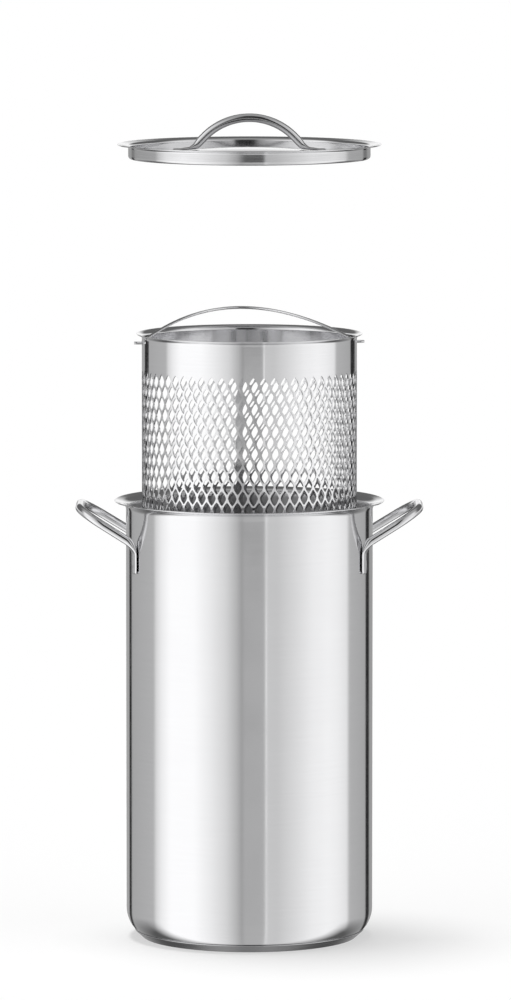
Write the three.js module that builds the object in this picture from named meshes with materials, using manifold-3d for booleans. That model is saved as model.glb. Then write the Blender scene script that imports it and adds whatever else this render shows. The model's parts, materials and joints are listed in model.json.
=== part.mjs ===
// A tall stainless-steel asparagus pot, shown with its parts lifted apart on one axis:
// the pot with its two loop handles, the mesh basket with its swinging bail, and the dished lid.
// Millimetres, +Z up. The origin is the centre of the underside of the base.

import * as THREE from 'three';
import { mergeVertices } from 'three/addons/utils/BufferGeometryUtils.js';
import Module from 'manifold-3d';

const wasm = await Module();
wasm.setup();

// Sheet and wire stock
const SHEET = 0.8;
const BASKET_SHEET = 0.6;
const CAP_SHEET = 0.6;
const ROD_DIAMETER = 6;
const WIRE_DIAMETER = 2.4;
const FITTING_GAP = 0.3;

// Pot
const POT_INNER_RADIUS = 80;
const POT_HEIGHT = 288.5;
const POT_FLOOR_UNDERSIDE = 4.5;
const POT_CORNER_RADIUS = 20;
const POT_CORNER_TURN = THREE.MathUtils.degToRad(44);
const POT_HEEL_RADIUS = 3.6;
const POT_RIM_RADIUS = 87.8;
const POT_FLARE_RADIUS = 5;
const POT_FLARE_TURN = THREE.MathUtils.degToRad(75);

// Base: an aluminium disc held under the pot by a pressed steel cap
const CORE_RADIUS = 69.2;
const CORE_BOTTOM = 0.9;
const CORE_TOP = 4.2;
const CAP_FLAT_RADIUS = 69.4;
const CAP_EDGE_RADIUS = 1;
const CAP_LIP_ANGLE = THREE.MathUtils.degToRad(-52);

// Loop handles on the pot
const HANDLE_REACH = 113.7;
const HANDLE_ARM_OFFSET = 32;
const HANDLE_BAR_OFFSET = 24;
const HANDLE_TOP = 284.8;
const HANDLE_SLOPE = THREE.MathUtils.degToRad(33.3);
const HANDLE_TAB_BOTTOM = 243;
const HANDLE_TAB_TOP = 256;
const HANDLE_CORNER_RADIUS = 18;
const HANDLE_FOOT_RADIUS = 7;
const TAB_THICKNESS_SHARE = 0.32;
const TAB_WIDTH_SHARE = 1.3;

// Basket
const BASKET_RADIUS = 70.3;
const BASKET_HEIGHT = 246;
const BASKET_RIM_RADIUS = 73.5;
const BASKET_FLARE_RADIUS = 2.4;
const BASKET_FLARE_TURN = THREE.MathUtils.degToRad(70);
const BASKET_RIM_AT_REST = 397.8;
const BASKET_TURN = THREE.MathUtils.degToRad(5);
const PLAIN_BAND = 21;
const PLAIN_FOOT = 14;
const MESH_COLUMNS = 24;
const MESH_ROWS = 10;
const MESH_STRAND = 3.2;
const FLOOR_RAISE = 8;
const FLOOR_FLANGE = 7;
const FLOOR_HOLE_RADIUS = 5;
const FLOOR_HOLE_PITCH = 24;
const FLOOR_HOLE_RINGS = 2;

// Bail: a wire arch whose ends turn in two holes of the basket's plain band
const PIVOT_BELOW_RIM = 6;
const PIVOT_HOLE_RADIUS = 1.75;
const BAIL_HEIGHT = 74;
const BAIL_ARCH_ZERO = 71.2;
const BAIL_ARM_SPAN = 66.6;
const BAIL_TIP_SPAN = 75.6;
const BAIL_BEND_RADIUS = 3;
const BAIL_LEAN = THREE.MathUtils.degToRad(12.9);

// Lid, in its own frame with the tip of the lip at height 0
const LID_LIP_RADIUS = 85.6;
const LID_SKIRT_RADIUS = 79;
const LID_DEPTH = 9.8;
const LID_CORNER_RADIUS = 1.6;
const LID_FLARE_RADIUS = 2;
const LID_FLARE_TURN = THREE.MathUtils.degToRad(82);
const LID_DOME_SLOPE = THREE.MathUtils.degToRad(9.5);
const LID_LIP_AT_REST = 521.6;

// Lid handle
const LID_ARCH_RADIUS = 41;
const LID_ARCH_HALF_ANGLE = THREE.MathUtils.degToRad(47);
const LID_ARCH_TOP = 16.9;
const LID_FOOT_TIP = 50;
const LID_FOOT_HEEL = 34.6;
const LID_HEEL_RADIUS = 3.6;
const LID_FOOT_ROUND = 33.5;
const LID_FOOT_FLAT = 40;

// Smoothness of the faceted solids
const POT_SEGMENTS = 48;
const LID_SEGMENTS = 40;
const CAP_SEGMENTS = 48;
const FLOOR_SEGMENTS = 36;
const ARC_DIVISIONS = 2;
const ROD_SIDES = 8;
const WIRE_SIDES = 6;
const HANDLE_STEPS = 44;
const BAIL_ARCH_STEPS = 16;
const BAIL_STEPS = 72;
const LID_ARCH_STEPS = 8;
const LID_HANDLE_STEPS = 40;
const ROUND_HOLE_SIDES = 8;

const QUARTER_TURN = Math.PI / 2;
const MERGE_DISTANCE = 0.001;

const POLISHED_STEEL = { color: 0xd6d6d8, roughness: 0.12, metalness: 1 };
const BRUSHED_STEEL = { color: 0xb9babd, roughness: 0.28, metalness: 1 };
const BARE_ALUMINIUM = { color: 0xc3c5c8, roughness: 0.45, metalness: 1 };

function part(name, geometry, finish) {
  const mesh = new THREE.Mesh(geometry, new THREE.MeshStandardMaterial(finish));
  mesh.name = name;
  return mesh;
}

// Merges shared corners and drops the flat triangles that a lathe leaves on its axis.
function toSolid(geometry) {
  const bare = geometry.clone();
  bare.deleteAttribute('normal');
  bare.deleteAttribute('uv');
  const merged = mergeVertices(bare);
  const corners = merged.index.array;
  const triangles = [];
  for (let i = 0; i < corners.length; i += 3) {
    const [a, b, c] = corners.slice(i, i + 3);
    if (a !== b && b !== c && c !== a) {
      triangles.push(a, b, c);
    }
  }
  return new wasm.Manifold(new wasm.Mesh({
    numProp: 3,
    vertProperties: Float32Array.from(merged.attributes.position.array),
    triVerts: Uint32Array.from(triangles),
  }));
}

function toGeometry(solid) {
  const mesh = solid.getMesh();
  const geometry = new THREE.BufferGeometry();
  geometry.setAttribute('position', new THREE.BufferAttribute(mesh.vertProperties, 3));
  geometry.setIndex(new THREE.BufferAttribute(mesh.triVerts, 1));
  geometry.computeVertexNormals();
  return geometry;
}

// Turns a closed outline of (radius, height) points, listed anticlockwise, about +Z.
function turned(outline, segments) {
  const geometry = new THREE.LatheGeometry(outline, segments);
  return geometry.rotateX(QUARTER_TURN);
}

// The outline of a bent sheet, from the line along the middle of its thickness: its outer face
// in the line's own direction, then its inner face back again.
function sheetOutline(line, thickness) {
  const half = thickness / 2;
  const middle = line.filter((point, i) => i === 0 || point.distanceTo(line[i - 1]) > MERGE_DISTANCE);
  const sides = middle.map((point, i) => {
    const before = middle[i - 1] ?? point.clone().multiplyScalar(2).sub(middle[i + 1]);
    const after = middle[i + 1] ?? point.clone().multiplyScalar(2).sub(middle[i - 1]);
    const arriving = point.clone().sub(before).normalize();
    const leaving = after.clone().sub(point).normalize();
    const along = arriving.clone().add(leaving).normalize();
    const reach = half / arriving.dot(along);
    const across = new THREE.Vector2(along.y, -along.x).multiplyScalar(reach);
    if (point.x === 0) {
      across.set(0, -half * Math.sign(leaving.x));
    }
    return { outside: point.clone().add(across), inside: point.clone().sub(across) };
  });
  const outside = sides.map((side) => side.outside);
  const inside = sides.map((side) => side.inside).reverse();
  return [...outside, ...inside];
}

function sheetOfRevolution(middle, thickness, segments) {
  const outline = sheetOutline(middle, thickness);
  const startsOnAxis = middle[0].x === 0;
  if (!startsOnAxis) {
    outline.push(outline[0].clone());
  }
  return turned(outline, segments);
}

// Adds the flared lip that finishes a wall: a round turn outwards, then a short straight cone.
function addFlare(path, wall, lipRadius, tipHeight, turnRadius, turn) {
  const straight = (lipRadius - wall - turnRadius * (1 - Math.cos(turn))) / Math.sin(turn);
  const rise = turnRadius * Math.sin(turn) + straight * Math.cos(turn);
  const start = tipHeight - rise;
  path.lineTo(wall, start);
  path.absarc(wall + turnRadius, start, turnRadius, Math.PI, Math.PI - turn, true);
  path.lineTo(lipRadius, tipHeight);
}

// A path along straight runs whose inner corners are rounded to the given radii.
function filletedPath(corners, radii) {
  const path = new THREE.CurvePath();
  let from = corners[0];
  radii.forEach((radius, i) => {
    const corner = corners[i + 1];
    const back = corners[i].clone().sub(corner).normalize();
    const on = corners[i + 2].clone().sub(corner).normalize();
    const trim = radius / Math.tan(back.angleTo(on) / 2);
    const entry = corner.clone().addScaledVector(back, trim);
    const exit = corner.clone().addScaledVector(on, trim);
    path.add(new THREE.LineCurve3(from, entry));
    path.add(new THREE.QuadraticBezierCurve3(entry, corner, exit));
    from = exit;
  });
  path.add(new THREE.LineCurve3(from, corners[corners.length - 1]));
  return path;
}

function roundSection(diameter, sides) {
  const outline = [];
  for (let i = 0; i < sides; i += 1) {
    const angle = (2 * Math.PI * (i + 0.5)) / sides;
    outline.push(new THREE.Vector2(Math.cos(angle), Math.sin(angle)).multiplyScalar(diameter / 2));
  }
  return new THREE.Shape(outline);
}

function rodAlong(path, diameter, sides, steps) {
  return new THREE.ExtrudeGeometry(roundSection(diameter, sides), { extrudePath: path, steps });
}

// The pot's corner is a wide sweep down from the wall, then a tight heel into the flat floor.
function potCorner() {
  const along = new THREE.Vector2(Math.cos(POT_CORNER_TURN), -Math.sin(POT_CORNER_TURN));
  along.multiplyScalar(POT_CORNER_RADIUS - POT_HEEL_RADIUS);
  const heel = new THREE.Vector2(0, POT_FLOOR_UNDERSIDE + POT_HEEL_RADIUS);
  const sweep = new THREE.Vector2(POT_INNER_RADIUS + SHEET - POT_CORNER_RADIUS, heel.y - along.y);
  heel.x = sweep.x + along.x;
  return { sweep, heel };
}

// Pot body: one drawn sheet from the floor, round the corner and up the wall to the flared rim.
function potBody() {
  const wall = POT_INNER_RADIUS + SHEET / 2;
  const floor = POT_FLOOR_UNDERSIDE + SHEET / 2;
  const { sweep, heel } = potCorner();
  const path = new THREE.Path();
  path.moveTo(0, floor);
  path.lineTo(heel.x, floor);
  path.absarc(heel.x, heel.y, POT_HEEL_RADIUS - SHEET / 2, -QUARTER_TURN, -POT_CORNER_TURN, false);
  path.absarc(sweep.x, sweep.y, POT_CORNER_RADIUS - SHEET / 2, -POT_CORNER_TURN, 0, false);
  addFlare(path, wall, POT_RIM_RADIUS, POT_HEIGHT - SHEET / 2, POT_FLARE_RADIUS, POT_FLARE_TURN);
  return sheetOfRevolution(path.getPoints(ARC_DIVISIONS), SHEET, POT_SEGMENTS);
}

function baseCore() {
  const outline = [
    new THREE.Vector2(0, CORE_BOTTOM),
    new THREE.Vector2(CORE_RADIUS, CORE_BOTTOM),
    new THREE.Vector2(CORE_RADIUS, CORE_TOP),
    new THREE.Vector2(0, CORE_TOP),
  ];
  return turned(outline, CAP_SEGMENTS);
}

// The cap is flat underneath, rounds its edge and leans out to a lip that follows the pot's heel.
function baseCap() {
  const bottom = CAP_SHEET / 2;
  const lipDistance = POT_HEEL_RADIUS + FITTING_GAP + CAP_SHEET / 2;
  const lip = new THREE.Vector2(Math.cos(CAP_LIP_ANGLE), Math.sin(CAP_LIP_ANGLE));
  lip.multiplyScalar(lipDistance).add(potCorner().heel);
  const edge = CAP_EDGE_RADIUS;
  const sideAngle = Math.atan2(lip.y - bottom - edge, lip.x - CAP_FLAT_RADIUS - edge);
  const path = new THREE.Path();
  path.moveTo(0, bottom);
  path.lineTo(CAP_FLAT_RADIUS, bottom);
  path.absarc(CAP_FLAT_RADIUS, bottom + edge, edge, -QUARTER_TURN, sideAngle - QUARTER_TURN, false);
  path.lineTo(lip.x, lip.y);
  return sheetOfRevolution(path.getPoints(ARC_DIVISIONS), CAP_SHEET, CAP_SEGMENTS);
}

// One loop handle on the +X side: a bent rod whose two ends are pressed flat against the wall.
function loopHandle() {
  const rod = ROD_DIAMETER / 2;
  const tabFace = POT_INNER_RADIUS + SHEET + FITTING_GAP;
  const tabRadius = tabFace + rod;
  const tabX = Math.sqrt(tabRadius ** 2 - HANDLE_ARM_OFFSET ** 2);
  const barX = HANDLE_REACH - rod;
  const bendZ = HANDLE_TOP - (barX - tabX) * Math.tan(HANDLE_SLOPE);
  const arm = (side) => [
    new THREE.Vector3(tabX, side * HANDLE_ARM_OFFSET, HANDLE_TAB_BOTTOM),
    new THREE.Vector3(tabX, side * HANDLE_ARM_OFFSET, bendZ),
    new THREE.Vector3(barX, side * HANDLE_BAR_OFFSET, HANDLE_TOP),
  ];
  const radii = [HANDLE_FOOT_RADIUS, HANDLE_CORNER_RADIUS, HANDLE_CORNER_RADIUS, HANDLE_FOOT_RADIUS];
  const path = filletedPath([...arm(-1), ...arm(1).reverse()], radii);
  const geometry = rodAlong(path, ROD_DIAMETER, ROD_SIDES, HANDLE_STEPS);
  return flattenTabs(geometry, tabX, tabFace, bendZ);
}

// Presses both ends towards the wall, without moving the face that lies on it.
function flattenTabs(geometry, tabX, tabFace, bendZ) {
  const position = geometry.attributes.position;
  const point = new THREE.Vector3();
  for (let i = 0; i < position.count; i += 1) {
    point.fromBufferAttribute(position, i);
    const side = Math.sign(point.y);
    const outward = new THREE.Vector3(tabX, side * HANDLE_ARM_OFFSET, 0).normalize();
    const across = new THREE.Vector3(-outward.y, outward.x, 0);
    const pressed = 1 - THREE.MathUtils.smoothstep(point.z, HANDLE_TAB_TOP, bendZ);
    const height = point.dot(outward) - tabFace;
    const width = point.dot(across);
    point.addScaledVector(outward, -height * pressed * (1 - TAB_THICKNESS_SHARE));
    point.addScaledVector(across, width * pressed * (TAB_WIDTH_SHARE - 1));
    position.setXYZ(i, point.x, point.y, point.z);
  }
  return geometry;
}

function roundCutter(radius, length) {
  return new THREE.CylinderGeometry(radius, radius, length, ROUND_HOLE_SIDES);
}

// Half a column of the mesh, as an angle: every corner of the basket wall sits on these steps.
const HALF_COLUMN = Math.PI / MESH_COLUMNS;
const HALF_COLUMNS = 2 * MESH_COLUMNS;

// A corner of the basket wall, counted in half columns from the seam at the back, on +Y.
function wallCorner(radius, step, height) {
  const angle = QUARTER_TURN + ((step + HALF_COLUMNS) % HALF_COLUMNS) * HALF_COLUMN;
  return new THREE.Vector3(radius * Math.cos(angle), radius * Math.sin(angle), height);
}

// The openings of the mesh, row by row. The one on the seam stays closed.
function meshOpenings() {
  const rowPitch = (BASKET_HEIGHT - PLAIN_BAND - PLAIN_FOOT) / (MESH_ROWS + 1);
  const columnHalf = HALF_COLUMN * BASKET_RADIUS;
  const strandReach = MESH_STRAND / 2 / Math.sin(Math.atan2(rowPitch, columnHalf));
  const openShare = 1 - strandReach / columnHalf;
  const rows = [];
  for (let row = 0; row < MESH_ROWS; row += 1) {
    const height = -PLAIN_BAND - (row + 1) * rowPitch;
    const openings = new Map();
    for (let step = row % 2; step < HALF_COLUMNS; step += 2) {
      openings.set(step, {
        closed: step === 0,
        left: [step - openShare, height],
        right: [step + openShare, height],
        top: [step, height + openShare * rowPitch],
        bottom: [step, height - openShare * rowPitch],
      });
    }
    rows.push(openings);
  }
  return rows;
}

// Outlines on one face of the mesh, each listed anticlockwise as seen from outside:
// the strands, the bonds where strands meet, and the edges towards the plain band and foot.
function meshFace(rows, bandEdge, footEdge) {
  const faces = [];
  const at = (row, step) => rows[row]?.get((step + HALF_COLUMNS) % HALF_COLUMNS);
  rows.forEach((openings, row) => {
    openings.forEach((opening, step) => {
      const { left, right, top, bottom } = opening;
      const above = at(row - 1, step + 1)?.bottom ?? [step + 1, bandEdge];
      const below = at(row + 1, step + 1)?.top ?? [step + 1, footEdge];
      faces.push([right, below, at(row, step + 2).left, above]);
      if (opening.closed) {
        faces.push([left, bottom, right, top]);
      }
      if (row + 1 < rows.length) {
        const lowerRight = at(row + 1, step + 1);
        const lowerLeft = at(row + 1, step - 1);
        faces.push([bottom, lowerRight.left, lowerRight.top, right]);
        faces.push([left, lowerLeft.top, lowerLeft.right, bottom]);
      } else {
        const [from, middle, to] = [-1, 0, 1].map((offset) => [step + offset, footEdge]);
        faces.push([from, bottom, left], [from, middle, bottom], [middle, to, bottom], [to, right, bottom]);
      }
      if (row === 0) {
        const [from, middle, to] = [-1, 0, 1].map((offset) => [step + offset, bandEdge]);
        faces.push([from, left, top], [from, top, middle], [middle, top, to], [top, right, to]);
      }
    });
  });
  return faces;
}

// Basket wall: one rolled sheet with a flared rim, a plain band, staggered openings and a plain foot.
// Its own frame has the rim at height 0, the bail's axis along X and the seam at the back, on +Y.
function basketWall() {
  const outer = BASKET_RADIUS;
  const inner = BASKET_RADIUS - BASKET_SHEET;
  const corners = [];
  const addFace = (face) => {
    for (let i = 2; i < face.length; i += 1) {
      corners.push(face[0], face[i - 1], face[i]);
    }
  };
  const addRing = (outline) => {
    for (let i = 1; i < outline.length; i += 1) {
      for (let step = 0; step < HALF_COLUMNS; step += 1) {
        const [low, high] = [outline[i - 1], outline[i]];
        addFace([
          wallCorner(low.x, step, low.y),
          wallCorner(low.x, step + 1, low.y),
          wallCorner(high.x, step + 1, high.y),
          wallCorner(high.x, step, high.y),
        ]);
      }
    }
  };

  const bandEdge = -PLAIN_BAND;
  const footEdge = -BASKET_HEIGHT + PLAIN_FOOT;
  const rows = meshOpenings();
  meshFace(rows, bandEdge, footEdge).forEach((face) => {
    addFace(face.map(([step, height]) => wallCorner(outer, step, height)));
    addFace(face.map(([step, height]) => wallCorner(inner, step, height)).reverse());
  });
  rows.forEach((openings) => openings.forEach(({ closed, left, right, top, bottom }) => {
    if (closed) {
      return;
    }
    const loop = [left, bottom, right, top, left];
    for (let i = 1; i < loop.length; i += 1) {
      const [from, to] = [loop[i - 1], loop[i]];
      addFace([
        wallCorner(outer, ...from),
        wallCorner(outer, ...to),
        wallCorner(inner, ...to),
        wallCorner(inner, ...from),
      ]);
    }
  }));

  const band = new THREE.Path();
  const middle = (outer + inner) / 2;
  band.moveTo(middle, bandEdge);
  addFlare(band, middle, BASKET_RIM_RADIUS, -BASKET_SHEET / 2, BASKET_FLARE_RADIUS, BASKET_FLARE_TURN);
  addRing(sheetOutline(band.getPoints(ARC_DIVISIONS), BASKET_SHEET));
  addRing([
    new THREE.Vector2(inner, footEdge),
    new THREE.Vector2(inner, -BASKET_HEIGHT),
    new THREE.Vector2(outer, -BASKET_HEIGHT),
    new THREE.Vector2(outer, footEdge),
  ]);

  const wall = toSolid(new THREE.BufferGeometry().setFromPoints(corners));
  const pivotHole = roundCutter(PIVOT_HOLE_RADIUS, 2 * BASKET_RIM_RADIUS);
  pivotHole.rotateY(Math.PI / ROUND_HOLE_SIDES).rotateZ(QUARTER_TURN).translate(0, 0, -PIVOT_BELOW_RIM);
  return toGeometry(wall.subtract(toSolid(pivotHole)));
}

// Basket floor: a disc inside the wall, raised off the wall's lower edge on its turned-down flange.
function basketFloor() {
  const radius = BASKET_RADIUS - BASKET_SHEET - FITTING_GAP - BASKET_SHEET / 2;
  const floor = -BASKET_HEIGHT + FLOOR_RAISE;
  const path = new THREE.Path();
  path.moveTo(radius, floor - FLOOR_FLANGE);
  path.lineTo(radius, floor);
  path.lineTo(0, floor);
  let disc = toSolid(sheetOfRevolution(path.getPoints(), BASKET_SHEET, FLOOR_SEGMENTS));
  for (let column = -FLOOR_HOLE_RINGS; column <= FLOOR_HOLE_RINGS; column += 1) {
    for (let row = -FLOOR_HOLE_RINGS; row <= FLOOR_HOLE_RINGS; row += 1) {
      if (Math.abs(column + row) <= FLOOR_HOLE_RINGS) {
        const hole = roundCutter(FLOOR_HOLE_RADIUS, FLOOR_FLANGE);
        hole.rotateX(QUARTER_TURN);
        const x = (column + row / 2) * FLOOR_HOLE_PITCH;
        const y = row * FLOOR_HOLE_PITCH * Math.cos(Math.PI / 6);
        disc = disc.subtract(toSolid(hole.translate(x, y, floor)));
      }
    }
  }
  return toGeometry(disc);
}

// Height of the bail's arch above its pivot line, at a distance along that line.
function bailArch(along) {
  return BAIL_HEIGHT * (1 - (along / BAIL_ARCH_ZERO) ** 2);
}

// The bail in its own frame: pivot line along X, arch towards +Y.
function bailWire() {
  const shoulder = bailArch(BAIL_ARM_SPAN);
  const corners = [
    new THREE.Vector3(-BAIL_TIP_SPAN, 0, 0),
    new THREE.Vector3(-BAIL_ARM_SPAN, 0, 0),
    new THREE.Vector3(-BAIL_ARM_SPAN, shoulder, 0),
  ];
  const archPoints = [];
  for (let i = 0; i <= BAIL_ARCH_STEPS; i += 1) {
    const along = BAIL_ARM_SPAN * ((2 * i) / BAIL_ARCH_STEPS - 1);
    archPoints.push(new THREE.Vector3(along, bailArch(along), 0));
  }
  const mirrored = corners.map((corner) => new THREE.Vector3(-corner.x, corner.y, 0)).reverse();
  const bends = [BAIL_BEND_RADIUS];
  const path = filletedPath(corners, bends);
  path.add(new THREE.CatmullRomCurve3(archPoints));
  filletedPath(mirrored, bends).curves.forEach((curve) => path.add(curve));
  return rodAlong(path, WIRE_DIAMETER, WIRE_SIDES, BAIL_STEPS);
}

// The round dome of the lid and the small corner that joins it to the skirt, at mid thickness.
function lidDome() {
  const corner = LID_CORNER_RADIUS;
  const wall = LID_SKIRT_RADIUS - SHEET / 2;
  const floor = SHEET / 2 - LID_DEPTH;
  const cornerCentre = new THREE.Vector2(wall - corner, floor + corner);
  const edge = new THREE.Vector2(-Math.sin(LID_DOME_SLOPE), -Math.cos(LID_DOME_SLOPE));
  edge.multiplyScalar(corner).add(cornerCentre);
  const radius = edge.x / Math.sin(LID_DOME_SLOPE);
  const centre = edge.y - radius * Math.cos(LID_DOME_SLOPE);
  const height = (distance) => centre + Math.sqrt(radius ** 2 - distance ** 2);
  return { cornerCentre, radius, centre, height };
}

// Lid shell: one pressed sheet with a low dome, a plug skirt and a flared lip that sits on the rim.
function lidShell() {
  const dome = lidDome();
  const wall = LID_SKIRT_RADIUS - SHEET / 2;
  const path = new THREE.Path();
  path.moveTo(0, dome.centre + dome.radius);
  path.absarc(0, dome.centre, dome.radius, QUARTER_TURN, QUARTER_TURN - LID_DOME_SLOPE, true);
  const cornerStart = -QUARTER_TURN - LID_DOME_SLOPE;
  path.absarc(dome.cornerCentre.x, dome.cornerCentre.y, LID_CORNER_RADIUS, cornerStart, 0, false);
  addFlare(path, wall, LID_LIP_RADIUS, -SHEET / 2, LID_FLARE_RADIUS, LID_FLARE_TURN);
  return sheetOfRevolution(path.getPoints(ARC_DIVISIONS), SHEET, LID_SEGMENTS);
}

// Lid handle: a bent rod along X with both feet pressed flat onto the dome.
function lidHandle() {
  const rod = ROD_DIAMETER / 2;
  const dome = lidDome();
  const seat = (x) => dome.height(x) + SHEET / 2 + FITTING_GAP;
  const archCentre = LID_ARCH_TOP - LID_ARCH_RADIUS;
  const shoulderX = LID_ARCH_RADIUS * Math.sin(LID_ARCH_HALF_ANGLE);
  const shoulderZ = archCentre + LID_ARCH_RADIUS * Math.cos(LID_ARCH_HALF_ANGLE);
  const foot = (side) => [
    new THREE.Vector3(side * LID_FOOT_TIP, 0, seat(LID_FOOT_TIP) + rod),
    new THREE.Vector3(side * LID_FOOT_HEEL, 0, seat(LID_FOOT_HEEL) + rod),
    new THREE.Vector3(side * shoulderX, 0, shoulderZ),
  ];
  const path = filletedPath(foot(-1), [LID_HEEL_RADIUS]);
  const archPoints = [];
  for (let i = 0; i <= LID_ARCH_STEPS; i += 1) {
    const angle = LID_ARCH_HALF_ANGLE * ((2 * i) / LID_ARCH_STEPS - 1);
    const x = LID_ARCH_RADIUS * Math.sin(angle);
    archPoints.push(new THREE.Vector3(x, 0, archCentre + LID_ARCH_RADIUS * Math.cos(angle)));
  }
  path.add(new THREE.CatmullRomCurve3(archPoints));
  filletedPath(foot(1).reverse(), [LID_HEEL_RADIUS]).curves.forEach((curve) => path.add(curve));
  return flattenFeet(rodAlong(path, ROD_DIAMETER, ROD_SIDES, LID_HANDLE_STEPS), seat);
}

// Presses both feet down onto the dome, without moving the face that lies on it.
function flattenFeet(geometry, seat) {
  const position = geometry.attributes.position;
  for (let i = 0; i < position.count; i += 1) {
    const x = position.getX(i);
    const distance = Math.abs(x);
    const pressed = THREE.MathUtils.smoothstep(distance, LID_FOOT_ROUND, LID_FOOT_FLAT);
    const height = position.getZ(i) - seat(distance);
    position.setY(i, position.getY(i) * (1 + pressed * (TAB_WIDTH_SHARE - 1)));
    position.setZ(i, seat(distance) + height * (1 - pressed * (1 - TAB_THICKNESS_SHARE)));
  }
  return geometry;
}

const asparagusPot = new THREE.Group();

asparagusPot.add(part('pot_body', potBody(), POLISHED_STEEL));
asparagusPot.add(part('base_core', baseCore(), BARE_ALUMINIUM));
asparagusPot.add(part('base_cap', baseCap(), BRUSHED_STEEL));

const rightHandle = part('right_handle', loopHandle(), POLISHED_STEEL);
const leftHandle = part('left_handle', loopHandle(), POLISHED_STEEL);
leftHandle.rotation.z = Math.PI;
asparagusPot.add(rightHandle, leftHandle);

const basket = new THREE.Group();
basket.position.z = BASKET_RIM_AT_REST;
basket.rotation.z = BASKET_TURN;
basket.add(part('basket_wall', basketWall(), POLISHED_STEEL));
basket.add(part('basket_floor', basketFloor(), POLISHED_STEEL));
const bail = part('bail', bailWire(), POLISHED_STEEL);
bail.position.z = -PIVOT_BELOW_RIM;
bail.rotation.x = BAIL_LEAN;
basket.add(bail);
asparagusPot.add(basket);

const lid = new THREE.Group();
lid.position.z = LID_LIP_AT_REST;
lid.add(part('lid_shell', lidShell(), BRUSHED_STEEL));
lid.add(part('lid_handle', lidHandle(), POLISHED_STEEL));
asparagusPot.add(lid);

export default asparagusPot;
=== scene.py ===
import json
import math

import bmesh
import bpy
from mathutils import Matrix, Vector


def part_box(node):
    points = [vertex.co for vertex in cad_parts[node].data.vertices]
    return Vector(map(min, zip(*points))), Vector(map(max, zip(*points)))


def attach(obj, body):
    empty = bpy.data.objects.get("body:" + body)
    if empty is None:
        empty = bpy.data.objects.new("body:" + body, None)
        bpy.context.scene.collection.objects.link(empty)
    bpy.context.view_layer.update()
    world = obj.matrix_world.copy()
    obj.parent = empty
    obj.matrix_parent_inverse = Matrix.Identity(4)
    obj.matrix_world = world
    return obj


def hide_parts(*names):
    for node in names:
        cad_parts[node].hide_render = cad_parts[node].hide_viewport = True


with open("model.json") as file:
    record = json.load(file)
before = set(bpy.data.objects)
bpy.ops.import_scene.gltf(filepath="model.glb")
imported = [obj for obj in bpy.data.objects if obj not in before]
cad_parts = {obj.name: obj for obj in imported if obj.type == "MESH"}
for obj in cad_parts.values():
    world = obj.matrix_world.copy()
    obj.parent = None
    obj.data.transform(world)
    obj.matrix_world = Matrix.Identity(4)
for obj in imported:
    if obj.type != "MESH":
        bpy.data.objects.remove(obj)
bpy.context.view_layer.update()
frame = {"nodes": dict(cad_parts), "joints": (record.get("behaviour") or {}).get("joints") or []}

# A tall stainless-steel asparagus pot: the pot, its mesh basket with a swinging bail, and its lid,
# lifted apart on one axis. Metres, +Z up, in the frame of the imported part.

MM = 0.001
DEGREE = math.pi / 180
QUARTER_TURN = math.pi / 2

# Sheet and wire stock
SHEET = 0.8 * MM
BASKET_SHEET = 0.6 * MM
CAP_SHEET = 0.6 * MM
ROD_RADIUS = 2.8 * MM
WIRE_RADIUS = 0.95 * MM
FITTING_GAP = 0.3 * MM

# Pot
POT_INNER_RADIUS = 80 * MM
POT_FLOOR_UNDERSIDE = 4.5 * MM
POT_CORNER_RADIUS = 20 * MM
POT_CORNER_TURN = 44 * DEGREE
POT_HEEL_RADIUS = 3.6 * MM
POT_RIM_RADIUS = 87.8 * MM
POT_FLARE_RADIUS = 5 * MM
POT_FLARE_TURN = 75 * DEGREE
POT_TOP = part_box("pot_body")[1].z

# Base cap
CAP_FLAT_RADIUS = 69.4 * MM
CAP_EDGE_RADIUS = 1 * MM
CAP_LIP_ANGLE = -52 * DEGREE
SEAM_GAP = 0.05 * MM

# Loop handles
HANDLE_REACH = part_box("right_handle")[1].x
HANDLE_ARM_OFFSET = 34 * MM
HANDLE_BAR_OFFSET = 30.5 * MM
HANDLE_TOP = 284.4 * MM
HANDLE_SLOPE = 31.8 * DEGREE
HANDLE_TAB_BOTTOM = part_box("right_handle")[0].z
HANDLE_TAB_TOP = HANDLE_TAB_BOTTOM + 13 * MM
HANDLE_CORNER_RADIUS = 19 * MM
HANDLE_FOOT_RADIUS = 7 * MM
TAB_THICKNESS_SHARE = 0.32
TAB_WIDTH_SHARE = 1.3
TAB_TIP_LENGTH = 1.6 * MM
WELD_RADIUS = 2.4 * MM
WELD_DEPTH = 0.25 * MM

# Basket
BASKET_RADIUS = 70.3 * MM
BASKET_RIM_RADIUS = 73.5 * MM
BASKET_FLARE_RADIUS = 2.4 * MM
BASKET_FLARE_TURN = 70 * DEGREE
BASKET_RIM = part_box("basket_wall")[1].z
BASKET_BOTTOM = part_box("basket_wall")[0].z
BASKET_TURN = 5 * DEGREE
PLAIN_BAND = 21 * MM
PLAIN_FOOT = 12 * MM
MESH_COLUMNS = 64
MESH_ROWS = 28
OPENING_WIDTH = 5.75 * MM
OPENING_HEIGHT = 9.6 * MM
OPENING_POINTEDNESS = 1.5
OPENING_QUARTER_STEPS = 5
SEAM_WIDTH = 3 * MM
FLOOR_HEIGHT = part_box("basket_floor")[1].z - BASKET_SHEET / 2
FLANGE_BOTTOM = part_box("basket_floor")[0].z
FLOOR_BEND_RADIUS = 1.6 * MM
FLOOR_HOLE_RADIUS = 5 * MM
FLOOR_HOLE_PITCH = 24 * MM
FLOOR_HOLE_RINGS = 2
FLOOR_HOLE_SIDES = 32

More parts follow.
